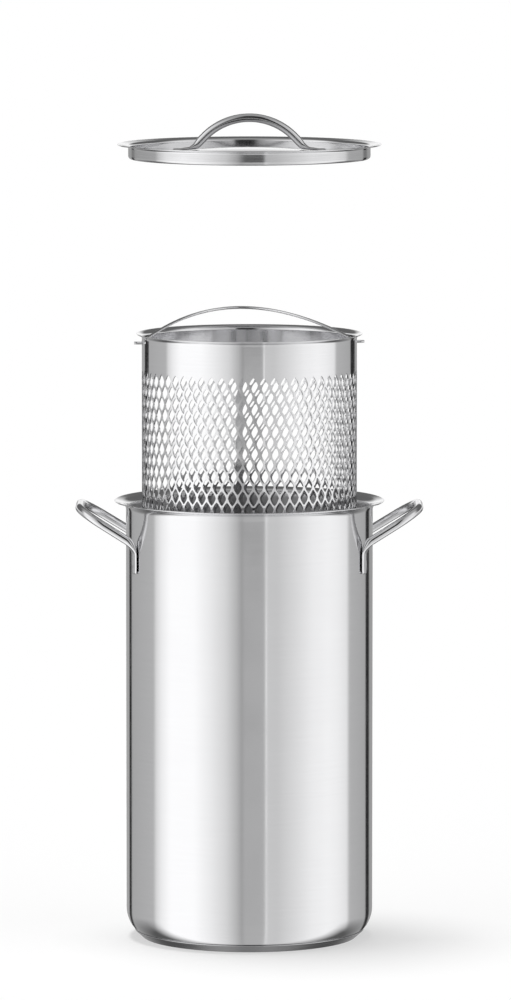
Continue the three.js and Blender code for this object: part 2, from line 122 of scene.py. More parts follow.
# Bail
BAIL_PIVOT = Vector(next(j for j in frame["joints"] if j["name"] == "bail_swing")["pos_m"])
PIVOT_HOLE_RADIUS = 1.75 * MM
PIVOT_PATCH_HALF = 2.5 * MM
PIVOT_PATCH_ROWS = 4
BAIL_HEIGHT = 74 * MM
BAIL_ARCH_ZERO = 71.2 * MM
BAIL_ARM_SPAN = 66.6 * MM
BAIL_TIP_SPAN = 75.6 * MM
BAIL_BEND_RADIUS = 3 * MM
BAIL_LEAN = 13.4 * DEGREE

# Lid, with heights counted from the tip of its lip
LID_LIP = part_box("lid_shell")[1].z
LID_LIP_RADIUS = 85.6 * MM
LID_SKIRT_RADIUS = 79 * MM
LID_DEPTH = 9.8 * MM
LID_CORNER_RADIUS = 1.6 * MM
LID_FLARE_RADIUS = 1.4 * MM
LID_FLARE_TURN = 82 * DEGREE
LID_DOME_SLOPE = 9.5 * DEGREE

# Lid handle
LID_ARCH_RADIUS = 41 * MM
LID_ARCH_HALF_ANGLE = 47 * DEGREE
LID_ARCH_TOP = 16.9 * MM
LID_FOOT_TIP = 50 * MM
LID_FOOT_HEEL = 34.6 * MM
LID_HEEL_RADIUS = 3.6 * MM
LID_FOOT_ROUND = 33.5 * MM
LID_FOOT_FLAT = 40 * MM

# Smoothness
TURNED_SEGMENTS = 224
ARC_STEP = 6 * DEGREE
DOME_STEPS = 24
STRAIGHT_RUN = 3.5 * MM
SUPPORT_DISTANCE = 0.3 * MM
EDGE_STEPS = 4
ROD_SIDES = 24
WIRE_SIDES = 16
PATH_STEP = 1.2 * MM
BLUNT_END_SHARE = 0.3
END_STEPS = 4
END_STATIONS = 2
CREASE_ANGLE = 38 * DEGREE

# Camera, placed by the photograph's ellipses and widths
CAMERA_DISTANCE = 5.0
CAMERA_HEIGHT = 0.806
CAMERA_SIDE = 4.0 * MM
CAMERA_TILT = 5.913 * DEGREE
CAMERA_LENS_MM = 276.4
SENSOR_LONG_SIDE_MM = 36
CAMERA_REACH = 100


# Building blocks

def arc(centre, radius, start, end):
    """Points on an arc in the (radius, height) plane, both ends included."""
    steps = max(2, math.ceil(abs(end - start) / ARC_STEP))
    angles = [start + (end - start) * i / steps for i in range(steps + 1)]
    return [Vector((centre[0] + radius * math.cos(a), centre[1] + radius * math.sin(a))) for a in angles]


def flare(wall, lip_radius, tip_height, turn_radius, turn):
    """The flared lip that finishes a wall: a round turn outwards, then a short straight cone."""
    straight = (lip_radius - wall - turn_radius * (1 - math.cos(turn))) / math.sin(turn)
    start = tip_height - turn_radius * math.sin(turn) - straight * math.cos(turn)
    bend = arc((wall + turn_radius, start), turn_radius, math.pi, math.pi - turn)
    return bend + [Vector((lip_radius, tip_height))]


def sheet_outline(middle, thickness):
    """Outline of a bent sheet from its middle line: one face, a rounded free edge, the other face."""
    half = thickness / 2
    one_face = []
    other_face = []
    for i, point in enumerate(middle):
        arriving = (point - middle[i - 1]).normalized() if i else (middle[1] - point).normalized()
        leaving = (middle[i + 1] - point).normalized() if i + 1 < len(middle) else arriving
        along = (arriving + leaving).normalized()
        across = Vector((along.y, -along.x)) * half / arriving.dot(along)
        if point.x == 0:
            across = Vector((0, across.y))
        one_face.append(point + across)
        other_face.append(point - across)
    edge = []
    for i in range(1, EDGE_STEPS):
        angle = math.pi * i / EDGE_STEPS
        edge.append(middle[-1] + across * math.cos(angle) + along * half * math.sin(angle))
    return one_face + edge + other_face[::-1]


def lathe(outline):
    """Turns an outline, listed anticlockwise, about Z. Points on the axis become single corners."""
    points = []
    rings = []
    for radius, height in outline:
        first = len(points)
        count = 1 if radius == 0 else TURNED_SEGMENTS
        for i in range(count):
            angle = 2 * math.pi * i / TURNED_SEGMENTS
            points.append(Vector((radius * math.cos(angle), radius * math.sin(angle), height)))
        rings.append(range(first, first + count))
    faces = []
    for low, high in zip(rings, rings[1:]):
        for i in range(TURNED_SEGMENTS):
            corners = [
                low[i % len(low)],
                low[(i + 1) % len(low)],
                high[(i + 1) % len(high)],
                high[i % len(high)],
            ]
            face = list(dict.fromkeys(corners))
            if len(face) > 2:
                faces.append(face)
    return points, faces


def turned_sheet(middle, thickness):
    """A turned sheet from its middle line, with a ring close to each end of every straight run."""
    supported = [middle[0]]
    for start, end in zip(middle, middle[1:]):
        length = (end - start).length
        if length > STRAIGHT_RUN:
            supported.append(start.lerp(end, SUPPORT_DISTANCE / length))
            supported.append(end.lerp(start, SUPPORT_DISTANCE / length))
        supported.append(end)
    return lathe(sheet_outline(supported, thickness))


def straight_run(start, end):
    """Points from start up to end, without end itself."""
    steps = max(1, round((end - start).length / PATH_STEP))
    return [start.lerp(end, i / steps) for i in range(steps)]


def rounded_path(corners, radii):
    """Closely spaced points along straight runs whose corners are rounded to the given radii."""
    points = []
    start = corners[0]
    for before, corner, after, radius in zip(corners, corners[1:], corners[2:], radii):
        back = (before - corner).normalized()
        on = (after - corner).normalized()
        half_angle = back.angle(on) / 2
        entry = corner + back * radius / math.tan(half_angle)
        centre = corner + (back + on).normalized() * radius / math.sin(half_angle)
        points += straight_run(start, entry)
        turn = math.pi - 2 * half_angle
        spoke = entry - centre
        steps = math.ceil(turn / ARC_STEP)
        for i in range(steps):
            angle = turn * i / steps
            points.append(centre + spoke * math.cos(angle) - back * radius * math.sin(angle))
        start = corner + on * radius / math.tan(half_angle)
    return points + straight_run(start, corners[-1]) + [corners[-1].copy()]


def rod(path, radius, sides):
    """A round rod along a path of points. Blunt rounded ends take the place of its last stations."""
    tangents = [(b - a).normalized() for a, b in zip(path, path[1:])]
    tangents.append(tangents[-1])
    directions = [tangents[0]] + [(a + b).normalized() for a, b in zip(tangents, tangents[1:])]
    side = directions[0].orthogonal().normalized()
    stations = []
    for i, (point, direction) in enumerate(zip(path, directions)):
        if i:
            side = directions[i - 1].rotation_difference(direction) @ side
        stations.append((point, direction, side.copy()))

    rings = []

    def add_end(point, direction, across, order):
        for i in order:
            angle = QUARTER_TURN * i / END_STEPS
            inset = BLUNT_END_SHARE * radius * (1 - math.sin(angle))
            rings.append((point - direction * inset, across, radius * math.cos(angle)))

    first, last = stations[0], stations[-1]
    add_end(first[0], -first[1], (first[1], first[2]), range(END_STEPS - 1, -1, -1))
    for point, direction, across in stations[END_STATIONS:-END_STATIONS]:
        rings.append((point, (direction, across), radius))
    add_end(last[0], last[1], (last[1], last[2]), range(END_STEPS))

    points = [first[0].copy()]
    for centre, (direction, across), size in rings:
        other = direction.cross(across)
        for i in range(sides):
            angle = 2 * math.pi * i / sides
            points.append(centre + (across * math.cos(angle) + other * math.sin(angle)) * size)
    points.append(last[0].copy())

    faces = []
    for i in range(sides):
        j = (i + 1) % sides
        faces.append([0, 1 + j, 1 + i])
        for ring in range(len(rings) - 1):
            low = 1 + ring * sides
            high = low + sides
            faces.append([low + i, low + j, high + j, high + i])
        top = 1 + (len(rings) - 1) * sides
        faces.append([top + i, top + j, len(points) - 1])
    return points, faces


def smoothstep(value, low, high):
    """0 below low, 1 above high, and a smooth rise between."""
    share = min(1, max(0, (value - low) / (high - low)))
    return share * share * (3 - 2 * share)


def round_tip(distance_from_tip):
    """Share of its full width that a pressed tab has near its rounded tip."""
    share = min(1, max(0, distance_from_tip / TAB_TIP_LENGTH))
    return math.sqrt(1 - (1 - share) ** 2)


def weld_dent(distance):
    """Depth of the spot-weld mark at a distance from its middle."""
    share = min(1, distance / WELD_RADIUS)
    return WELD_DEPTH * (1 - share * share) ** 2


def add_piece(name, shape, slot, body, node):
    """Makes a smooth-shaded object that rides on a body and stands for a node of the frame."""
    points, faces = shape
    mesh = bpy.data.meshes.new(name)
    mesh.from_pydata(points, [], faces)
    mesh.update()
    mesh.shade_smooth()
    mesh.set_sharp_from_angle(angle=CREASE_ANGLE)
    mesh.materials.append(FINISHES[slot])
    piece = bpy.data.objects.new(name, mesh)
    bpy.context.scene.collection.objects.link(piece)
    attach(piece, body)
    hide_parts(node)


# Pot

def pot_corner():
    """Middles of the wide sweep down from the wall and of the tight heel into the flat floor."""
    along = Vector((math.cos(POT_CORNER_TURN), -math.sin(POT_CORNER_TURN)))
    along *= POT_CORNER_RADIUS - POT_HEEL_RADIUS
    heel_height = POT_FLOOR_UNDERSIDE + POT_HEEL_RADIUS
    sweep = Vector((POT_INNER_RADIUS + SHEET - POT_CORNER_RADIUS, heel_height - along.y))
    return sweep, sweep + along


def pot_shell():
    """The pot's sheet: floor, heel, wide corner, wall and flared rim."""
    wall = POT_INNER_RADIUS + SHEET / 2
    sweep, heel = pot_corner()
    middle = [Vector((0, POT_FLOOR_UNDERSIDE + SHEET / 2))]
    middle += arc(heel, POT_HEEL_RADIUS - SHEET / 2, -QUARTER_TURN, -POT_CORNER_TURN)
    middle += arc(sweep, POT_CORNER_RADIUS - SHEET / 2, -POT_CORNER_TURN, 0)[1:]
    middle += flare(wall, POT_RIM_RADIUS, POT_TOP - SHEET / 2, POT_FLARE_RADIUS, POT_FLARE_TURN)
    return turned_sheet(middle, SHEET)


def base_plate():
    """The cap under the pot: flat underneath, a round edge, and a lip that follows the pot's heel."""
    bottom = CAP_SHEET / 2
    edge = CAP_EDGE_RADIUS
    heel = pot_corner()[1]
    lip_distance = POT_HEEL_RADIUS + SEAM_GAP + CAP_SHEET / 2
    lip = heel + Vector((math.cos(CAP_LIP_ANGLE), math.sin(CAP_LIP_ANGLE))) * lip_distance
    side_angle = math.atan2(lip.y - bottom - edge, lip.x - CAP_FLAT_RADIUS - edge)
    middle = [Vector((0, bottom))]
    middle += arc((CAP_FLAT_RADIUS, bottom + edge), edge, -QUARTER_TURN, side_angle - QUARTER_TURN)
    middle.append(lip)
    return turned_sheet(middle, CAP_SHEET)


def loop_handle(side):
    """One bent rod with both ends pressed flat against the wall; side is 1 on +X and -1 on -X."""
    tab_face = POT_INNER_RADIUS + SHEET + FITTING_GAP
    tab_x = math.sqrt((tab_face + ROD_RADIUS) ** 2 - HANDLE_ARM_OFFSET ** 2)
    bar_x = HANDLE_REACH - ROD_RADIUS
    bend_z = HANDLE_TOP - (bar_x - tab_x) * math.tan(HANDLE_SLOPE)

    def arm(end):
        return [
            Vector((tab_x, end * HANDLE_ARM_OFFSET, HANDLE_TAB_BOTTOM)),
            Vector((tab_x, end * HANDLE_ARM_OFFSET, bend_z)),
            Vector((bar_x, end * HANDLE_BAR_OFFSET, HANDLE_TOP)),
        ]

    radii = [HANDLE_FOOT_RADIUS, HANDLE_CORNER_RADIUS, HANDLE_CORNER_RADIUS, HANDLE_FOOT_RADIUS]
    points, faces = rod(rounded_path(arm(-1) + arm(1)[::-1], radii), ROD_RADIUS, ROD_SIDES)
    weld_z = (HANDLE_TAB_BOTTOM + HANDLE_TAB_TOP) / 2
    for point in points:
        end = math.copysign(1, point.y)
        outward = Vector((tab_x, end * HANDLE_ARM_OFFSET, 0)).normalized()
        across = Vector((-outward.y, outward.x, 0))
        pressed = 1 - smoothstep(point.z, HANDLE_TAB_TOP, bend_z)
        height = point.dot(outward) - tab_face
        width = point.dot(across)
        spread = 1 + pressed * (TAB_WIDTH_SHARE * round_tip(point.z - HANDLE_TAB_BOTTOM) - 1)
        lowered = height * pressed * (1 - TAB_THICKNESS_SHARE)
        if height > ROD_RADIUS:
            lowered += weld_dent(math.hypot(width * spread, point.z - weld_z))
        point += across * width * (spread - 1) - outward * lowered
    turn = Matrix.Rotation(0 if side > 0 else math.pi, 3, "Z")
    return [turn @ point for point in points], faces


# Basket

HALF_COLUMN = math.pi / MESH_COLUMNS
HALF_COLUMNS = 2 * MESH_COLUMNS
STEP_LENGTH = HALF_COLUMN * BASKET_RADIUS
BAND_EDGE = BASKET_RIM - PLAIN_BAND
FOOT_EDGE = BASKET_BOTTOM + PLAIN_FOOT
ROW_PITCH = (BAND_EDGE - FOOT_EDGE) / (MESH_ROWS + 1)
PIVOT_STEPS = (MESH_COLUMNS // 2, MESH_COLUMNS + MESH_COLUMNS // 2)


def wall_point(radius, step, height):
    """A point of the basket, counted in half columns from the seam at the back."""
    angle = QUARTER_TURN + BASKET_TURN + step * HALF_COLUMN
    return Vector((radius * math.cos(angle), radius * math.sin(angle), height))


def seam_reach(step, side):
    """How far an opening reaches to its left (-1) or right (+1), cut short beside the plain seam."""
    reach = OPENING_WIDTH / 2 / STEP_LENGTH
    from_seam = (step + MESH_COLUMNS) % HALF_COLUMNS - MESH_COLUMNS
    if from_seam * side < 0:
        reach = min(reach, abs(from_seam) - SEAM_WIDTH / 2 / STEP_LENGTH)
    return reach


def opening_loop(row, step):
    """Points round an opening as (step, height), anticlockwise from outside, from its right tip."""
    middle = BAND_EDGE - (row + 1) * ROW_PITCH
    loop = []
    for i in range(4 * OPENING_QUARTER_STEPS):
        angle = QUARTER_TURN * i / OPENING_QUARTER_STEPS
        across = math.copysign(abs(math.cos(angle)) ** OPENING_POINTEDNESS, math.cos(angle))
        up = math.copysign(abs(math.sin(angle)) ** OPENING_POINTEDNESS, math.sin(angle))
        reach = seam_reach(step, math.copysign(1, across)) if step else OPENING_WIDTH / 2 / STEP_LENGTH
        loop.append((step + across * reach, middle + up * OPENING_HEIGHT / 2))
    return loop


class BasketMesh:
    """Collects matching points and faces on the outer and inner face of the basket's sheet."""

    def __init__(self):
        self.points = []
        self.faces = []

    def add_pair(self, step, height):
        """A point on the outer face, followed by its partner on the inner face."""
        self.points.append(wall_point(BASKET_RADIUS, step, height))
        self.points.append(wall_point(BASKET_RADIUS - BASKET_SHEET, step, height))
        return len(self.points) - 2

    def add_face(self, outer):
        """A face given by its outer points, anticlockwise from outside, and its partner inside."""
        self.faces.append(list(outer))
        self.faces.append([i + 1 for i in reversed(outer)])

    def add_rim(self, loop):
        """The cut edge round a hole, from the outer face to the inner one."""
        for a, b in zip(loop, loop[1:] + loop[:1]):
            self.faces.append([a, b, b + 1, a + 1])


def edge_pairs(basket, loops, order, height):
    """A row of points on the plain sheet, straight above or below the given points of each loop."""
    pairs = {}
    for step, loop in loops.items():
        pairs[step] = [basket.add_pair(loop[i][0], height) for i in order]
    return pairs


def add_mesh(basket):
    """The openings with their strands and bonds. Returns the rows of points next to band and foot."""
    quarter = OPENING_QUARTER_STEPS
    right, top, left, bottom = 0, quarter, 2 * quarter, 3 * quarter
    loops = []
    corners = []
    for row in range(MESH_ROWS):
        steps = range((row + 1) % 2, HALF_COLUMNS, 2)
        loops.append({step: opening_loop(row, step) for step in steps})
        corners.append({step: [basket.add_pair(*p) for p in loop] for step, loop in loops[row].items()})
    upper_half = range(left, right - 1, -1)
    lower_half = [i % (4 * quarter) for i in range(left, 4 * quarter + 1)]
    band = edge_pairs(basket, loops[0], upper_half, BAND_EDGE)
    foot = edge_pairs(basket, loops[-1], lower_half, FOOT_EDGE)

    for row, openings in enumerate(corners):
        for step, loop in openings.items():
            after = (step + 1) % HALF_COLUMNS
            before = (step - 1) % HALF_COLUMNS
            following = (step + 2) % HALF_COLUMNS
            is_last = row + 1 == MESH_ROWS
            bond = [loop[right]]
            bond += [foot[step][-1], foot[following][0]] if is_last else [corners[row + 1][after][top]]
            bond.append(openings[following][left])
            bond += [corners[row - 1][after][bottom]] if row else [band[following][0], band[step][-1]]
            basket.add_face(bond)
            if step:
                basket.add_rim(loop)
            else:
                basket.add_face(loop)
            for i in range(quarter):
                if is_last:
                    continue
                lower_left = corners[row + 1][before]
                lower_right = corners[row + 1][after]
                ahead = (bottom + i + 1) % (4 * quarter)
                left_strand = [loop[left + i], lower_left[top - i]]
                left_strand += [lower_left[top - i - 1], loop[left + i + 1]]
                right_strand = [loop[bottom + i], lower_right[left - i]]
                right_strand += [lower_right[left - i - 1], loop[ahead]]
                basket.add_face(left_strand)
                basket.add_face(right_strand)
            for i in range(2 * quarter):
                if is_last:
                    a, b = lower_half[i], lower_half[i + 1]
                    basket.add_face([loop[a], foot[step][i], foot[step][i + 1], loop[b]])
                if row == 0:
                    a, b = upper_half[i], upper_half[i + 1]
                    basket.add_face([band[step][i], loop[a], loop[b], band[step][i + 1]])
    return loops, band, foot


def add_band(basket, loops, band):
    """The plain band above the openings, with the two holes for the bail and the flared rim."""
    quarter = OPENING_QUARTER_STEPS
    steps = [loop[i][0] for loop in loops[0].values() for i in range(2 * quarter, -1, -1)]
    columns = len(steps)
    heights = [
        BAIL_PIVOT.z + PIVOT_PATCH_HALF * (2 * i / PIVOT_PATCH_ROWS - 1)
        for i in range(PIVOT_PATCH_ROWS + 1)
    ]
    rows = [[pair for pairs in band.values() for pair in pairs]]
    rows += [[basket.add_pair(step, height) for step in steps] for height in heights]

    middle_of = {step: i * (2 * quarter + 1) + quarter for i, step in enumerate(loops[0])}
    patches = [(middle_of[pivot - 1], middle_of[pivot + 1], pivot) for pivot in PIVOT_STEPS]
    for row in range(len(rows) - 1):
        for i in range(columns):
            j = (i + 1) % columns
            in_patch = row > 0 and any(start <= i < end for start, end, pivot in patches)
            if not in_patch:
                basket.add_face([rows[row][i], rows[row][j], rows[row + 1][j], rows[row + 1][i]])

    for start, end, pivot in patches:
        border = [(1, i) for i in range(start, end)]
        border += [(row, end) for row in range(1, PIVOT_PATCH_ROWS + 1)]
        border += [(PIVOT_PATCH_ROWS + 1, i) for i in range(end, start, -1)]
        border += [(row, start) for row in range(PIVOT_PATCH_ROWS + 1, 1, -1)]
        hole = []
        for row, i in border:
            angle = math.atan2(heights[row - 1] - BAIL_PIVOT.z, (steps[i] - pivot) * STEP_LENGTH)
            across = PIVOT_HOLE_RADIUS * math.cos(angle) / STEP_LENGTH
            up = PIVOT_HOLE_RADIUS * math.sin(angle)
            hole.append(basket.add_pair(pivot + across, BAIL_PIVOT.z + up))
        outside = [rows[row][i] for row, i in border]
        for a, b, c, d in zip(outside, outside[1:] + outside[:1], hole[1:] + hole[:1], hole):
            basket.add_face([a, b, c, d])
        basket.add_rim(hole)

    wall = BASKET_RADIUS - BASKET_SHEET / 2
    tip = BASKET_RIM - BASKET_SHEET / 2
    middle = [Vector((wall, heights[-1]))]
    middle += flare(wall, BASKET_RIM_RADIUS, tip, BASKET_FLARE_RADIUS, BASKET_FLARE_TURN)
    add_edge(basket, sheet_outline(middle, BASKET_SHEET), steps, rows[-1])


def add_edge(basket, outline, steps, start_row):
    """Carries the outer face round a free edge of the sheet and back to the inner face."""
    columns = len(steps)
    rows = [start_row]
    for radius, height in outline[1:-1]:
        first = len(basket.points)
        basket.points += [wall_point(radius, step, height) for step in steps]
        rows.append(range(first, first + columns))
    rows.append([pair + 1 for pair in start_row])
    for low, high in zip(rows, rows[1:]):
        for i in range(columns):
            j = (i + 1) % columns
            basket.faces.append([low[i], low[j], high[j], high[i]])


def add_foot(basket, loops, foot):
    """The plain foot below the openings, down to its rounded lower edge."""
    quarter = OPENING_QUARTER_STEPS
    order = [i % (4 * quarter) for i in range(2 * quarter, 4 * quarter + 1)]
    steps = [loop[i][0] for loop in loops[-1].values() for i in order]
    start_row = [pair for pairs in foot.values() for pair in pairs]
    wall = BASKET_RADIUS - BASKET_SHEET / 2
    middle = [Vector((wall, FOOT_EDGE)), Vector((wall, BASKET_BOTTOM + BASKET_SHEET / 2))]
    outline = sheet_outline(middle, BASKET_SHEET)[::-1]
    first_face = len(basket.faces)
    add_edge(basket, outline, steps, start_row)
    for face in basket.faces[first_face:]:
        face.reverse()


def basket_sleeve():
    """The basket's whole wall: mesh, plain band with its rim, and plain foot."""
    basket = BasketMesh()
    loops, band, foot = add_mesh(basket)
    add_band(basket, loops, band)
    add_foot(basket, loops, foot)
    return basket.points, basket.faces


def floor_holes():
    """Middles of the holes in the basket floor, on a triangular grid."""
    turn = Matrix.Rotation(BASKET_TURN, 2)
    rings = range(-FLOOR_HOLE_RINGS, FLOOR_HOLE_RINGS + 1)
    row_pitch = FLOOR_HOLE_PITCH * math.cos(30 * DEGREE)
    middles = []
    for column in rings:
        for row in rings:
            if abs(column + row) <= FLOOR_HOLE_RINGS:
                middles.append(turn @ Vector(((column + row / 2) * FLOOR_HOLE_PITCH, row * row_pitch)))
    return middles


def basket_base():
    """The perforated floor with its turned-down flange."""
    radius = BASKET_RADIUS - BASKET_SHEET - FITTING_GAP - BASKET_SHEET / 2
    bend = FLOOR_BEND_RADIUS
    flat = radius - bend
    middle = [Vector((flat, FLOOR_HEIGHT))]
    middle += arc((flat, FLOOR_HEIGHT - bend), bend, QUARTER_TURN, 0)[1:]
    middle.append(Vector((radius, FLANGE_BOTTOM + BASKET_SHEET / 2)))
    points, faces = lathe(sheet_outline(middle, BASKET_SHEET)[::-1])

    made = bmesh.new()
    corners = [made.verts.new(point) for point in points]
    for face in faces:
        made.faces.new([corners[i] for i in face])
    upper = [corners[:TURNED_SEGMENTS]]
    lower = [corners[-TURNED_SEGMENTS:]]
    for hole in floor_holes():
        circle = []
        for i in range(FLOOR_HOLE_SIDES):
            angle = 2 * math.pi * i / FLOOR_HOLE_SIDES
            x = hole.x + FLOOR_HOLE_RADIUS * math.cos(angle)
            y = hole.y + FLOOR_HOLE_RADIUS * math.sin(angle)
            circle.append((x, y))
        upper.append([made.verts.new((x, y, FLOOR_HEIGHT + BASKET_SHEET / 2)) for x, y in circle])
        lower.append([made.verts.new((x, y, FLOOR_HEIGHT - BASKET_SHEET / 2)) for x, y in circle])
        for i in range(FLOOR_HOLE_SIDES):
            j = (i + 1) % FLOOR_HOLE_SIDES
            made.faces.new([upper[-1][i], upper[-1][j], lower[-1][j], lower[-1][i]])
    for loops in (upper, lower):
        edges = []
        for loop in loops:
            for a, b in zip(loop, loop[1:] + loop[:1]):
                edges.append(made.edges.get((a, b)) or made.edges.new((a, b)))
        bmesh.ops.triangle_fill(made, use_beauty=True, edges=edges)
    bmesh.ops.recalc_face_normals(made, faces=made.faces)
    made.verts.index_update()
    points = [vert.co.copy() for vert in made.verts]
    faces = [[vert.index for vert in face.verts] for face in made.faces]
    made.free()
    return points, faces


# Bail

def bail_wire():
    """The wire arch, leaning back on the rim, with its ends through the two holes of the band."""
    def arch(along):
        return Vector((along, BAIL_HEIGHT * (1 - (along / BAIL_ARCH_ZERO) ** 2), 0))

    shoulder = arch(BAIL_ARM_SPAN)
    end = [Vector((BAIL_TIP_SPAN, 0, 0)), Vector((BAIL_ARM_SPAN, 0, 0)), shoulder]
    right = rounded_path(end, [BAIL_BEND_RADIUS])
    left = [Vector((-point.x, point.y, 0)) for point in right]
    steps = round(2 * BAIL_ARM_SPAN / PATH_STEP)
    middle = [arch(BAIL_ARM_SPAN * (2 * i / steps - 1)) for i in range(1, steps)]
    points, faces = rod(left + middle + right[::-1], WIRE_RADIUS, WIRE_SIDES)
    place = Matrix.Translation(BAIL_PIVOT) @ Matrix.Rotation(BASKET_TURN, 4, "Z")
    place = place @ Matrix.Rotation(BAIL_LEAN, 4, "X")
    return [place @ point for point in points], faces


# Lid

def lid_dome():
    """Middle of the corner between dome and skirt, and the dome's radius and height of its middle."""
    corner_x = LID_SKIRT_RADIUS - SHEET / 2 - LID_CORNER_RADIUS
    corner_z = LID_LIP - LID_DEPTH + SHEET / 2 + LID_CORNER_RADIUS
    corner = Vector((corner_x, corner_z))
    edge = corner - Vector((math.sin(LID_DOME_SLOPE), math.cos(LID_DOME_SLOPE))) * LID_CORNER_RADIUS
    radius = edge.x / math.sin(LID_DOME_SLOPE)
    return corner, radius, edge.y - radius * math.cos(LID_DOME_SLOPE)


def lid_dish():
    """The lid's sheet: low dome, tight corner, skirt and flared lip."""
    corner, radius, low = lid_dome()
    middle = []
    for i in range(DOME_STEPS):
        angle = LID_DOME_SLOPE * i / DOME_STEPS
        middle.append(Vector((radius * math.sin(angle), low + radius * math.cos(angle))))
    middle += arc(corner, LID_CORNER_RADIUS, -QUARTER_TURN - LID_DOME_SLOPE, 0)
    wall = LID_SKIRT_RADIUS - SHEET / 2
    middle += flare(wall, LID_LIP_RADIUS, LID_LIP - SHEET / 2, LID_FLARE_RADIUS, LID_FLARE_TURN)
    return turned_sheet(middle, SHEET)


def lid_grip():
    """The arched rod with both feet pressed flat onto the dome."""
    radius, low = lid_dome()[1:]

    def seat(x):
        return low + math.sqrt(radius ** 2 - x ** 2) + SHEET / 2 + FITTING_GAP

    def foot(x):
        return Vector((x, 0, seat(x) + ROD_RADIUS))

    def arch(angle):
        drop = LID_ARCH_RADIUS * (1 - math.cos(angle))
        return Vector((LID_ARCH_RADIUS * math.sin(angle), 0, LID_LIP + LID_ARCH_TOP - drop))

    end = [foot(LID_FOOT_TIP), foot(LID_FOOT_HEEL), arch(LID_ARCH_HALF_ANGLE)]
    right = rounded_path(end, [LID_HEEL_RADIUS])
    left = [Vector((-point.x, 0, point.z)) for point in right]
    steps = round(2 * LID_ARCH_HALF_ANGLE * LID_ARCH_RADIUS / PATH_STEP)
    bow = [arch(LID_ARCH_HALF_ANGLE * (2 * i / steps - 1)) for i in range(1, steps)]
    points, faces = rod(left + bow + right[::-1], ROD_RADIUS, ROD_SIDES)
    weld_x = (LID_FOOT_FLAT + LID_FOOT_TIP) / 2
    for point in points:
        distance = abs(point.x)
        pressed = smoothstep(distance, LID_FOOT_ROUND, LID_FOOT_FLAT)
        above = point.z - seat(distance)
        spread = TAB_WIDTH_SHARE * round_tip(LID_FOOT_TIP - distance)
        dent = weld_dent(math.hypot(distance - weld_x, point.y * spread)) if above > ROD_RADIUS else 0
        point.y *= 1 + pressed * (spread - 1)
        point.z = seat(distance) + above * (1 - pressed * (1 - TAB_THICKNESS_SHARE)) - dent * pressed
    return points, faces


# Materials

# Nearly all of a noise lies between these two values
NOISE_LOW = 0.3
NOISE_HIGH = 0.7
BUMP_DISTANCE = 0.02 * MM

# Turned sheet: long fine lines round the axis, and clouds in the gloss
GRAIN_LENGTH = 2.5
GRAIN_DETAIL = 4
GRAIN_ROUGHNESS = 0.65
GRAIN_SHADE = 0.35
GRAIN_BUMP = 0.4
GRAIN_GLOSS = (0.8, 1.25)
ACROSS_GRAIN = 0.25
SHEET_CLOUD_SCALE = 28
SHEET_CLOUD_DETAIL = 3
SHEET_CLOUD_GLOSS = (-0.02, 0.03)

# Drawn rod and wire: small drawing marks, and clouds in the tone
MARK_SCALE = 420
MARK_DETAIL = 5
MARK_BUMP = 0.06
MARK_GLOSS = (0.8, 1.3)
ROD_CLOUD_SCALE = 60
ROD_CLOUD_DETAIL = 2
ROD_SHADE = 0.93


class Nodes:
    """Short forms for making and wiring the nodes of one material or of the world."""

    def __init__(self, tree):
        self.tree = tree
        tree.nodes.clear()

    def add(self, kind, **settings):
        node = self.tree.nodes.new(kind)
        for name, value in settings.items():
            setattr(node, name, value)
        return node

    def join(self, output, node_input):
        self.tree.links.new(output, node_input)

    def feed(self, value, socket):
        """Joins another node's output to a socket, or sets the socket to a plain value."""
        if isinstance(value, bpy.types.NodeSocket):
            self.join(value, socket)
        elif value is not None:
            socket.default_value = value

    def math(self, operation, a, b):
        node = self.add("ShaderNodeMath", operation=operation)
        self.feed(a, node.inputs[0])
        self.feed(b, node.inputs[1])
        return node.outputs[0]

    def spread(self, value, low, high, to_low, to_high):
        """Maps a value from one range to another."""
        node = self.add("ShaderNodeMapRange")
        for socket, fed in zip(node.inputs, (value, low, high, to_low, to_high)):
            self.feed(fed, socket)
        return node.outputs[0]

    def fade(self, value, limits):
        """Runs from 0 to 1 between two limits of a value."""
        return self.spread(value, *limits, 0, 1)

    def noise(self, place, scale, detail):
        node = self.add("ShaderNodeTexNoise")
        self.join(place, node.inputs["Vector"])
        node.inputs["Scale"].default_value = scale
        node.inputs["Detail"].default_value = detail
        return node.outputs["Fac"]

    def from_noise(self, noise, low, high):
        """Spreads the middle of a noise over a range."""
        return self.spread(noise, NOISE_LOW, NOISE_HIGH, low, high)

    def blend(self, share, a, b):
        """A grey between two greys, by share."""
        node = self.add("ShaderNodeMix")
        for socket, fed in zip(node.inputs, (share, None, a, b)):
            self.feed(fed, socket)
        return node.outputs[0]

    def ramp(self, value, stops):
        """Greys along a value from 0 to 1."""
        node = self.add("ShaderNodeValToRGB")
        elements = node.color_ramp.elements
        while len(elements) < len(stops):
            elements.new(1)
        for element, (position, grey) in zip(elements, stops):
            element.position = position
            element.color = (grey, grey, grey, 1)
        self.join(value, node.inputs[0])
        return node.outputs[0]


def new_metal(name):
    """A metallic material, its nodes and its shader."""
    material = bpy.data.materials.new(name)
    material.use_nodes = True
    nodes = Nodes(material.node_tree)
    shader = nodes.add("ShaderNodeBsdfPrincipled")
    shader.inputs["Metallic"].default_value = 1
    output = nodes.add("ShaderNodeOutputMaterial")
    nodes.join(shader.outputs[0], output.inputs[0])
    return material, nodes, shader


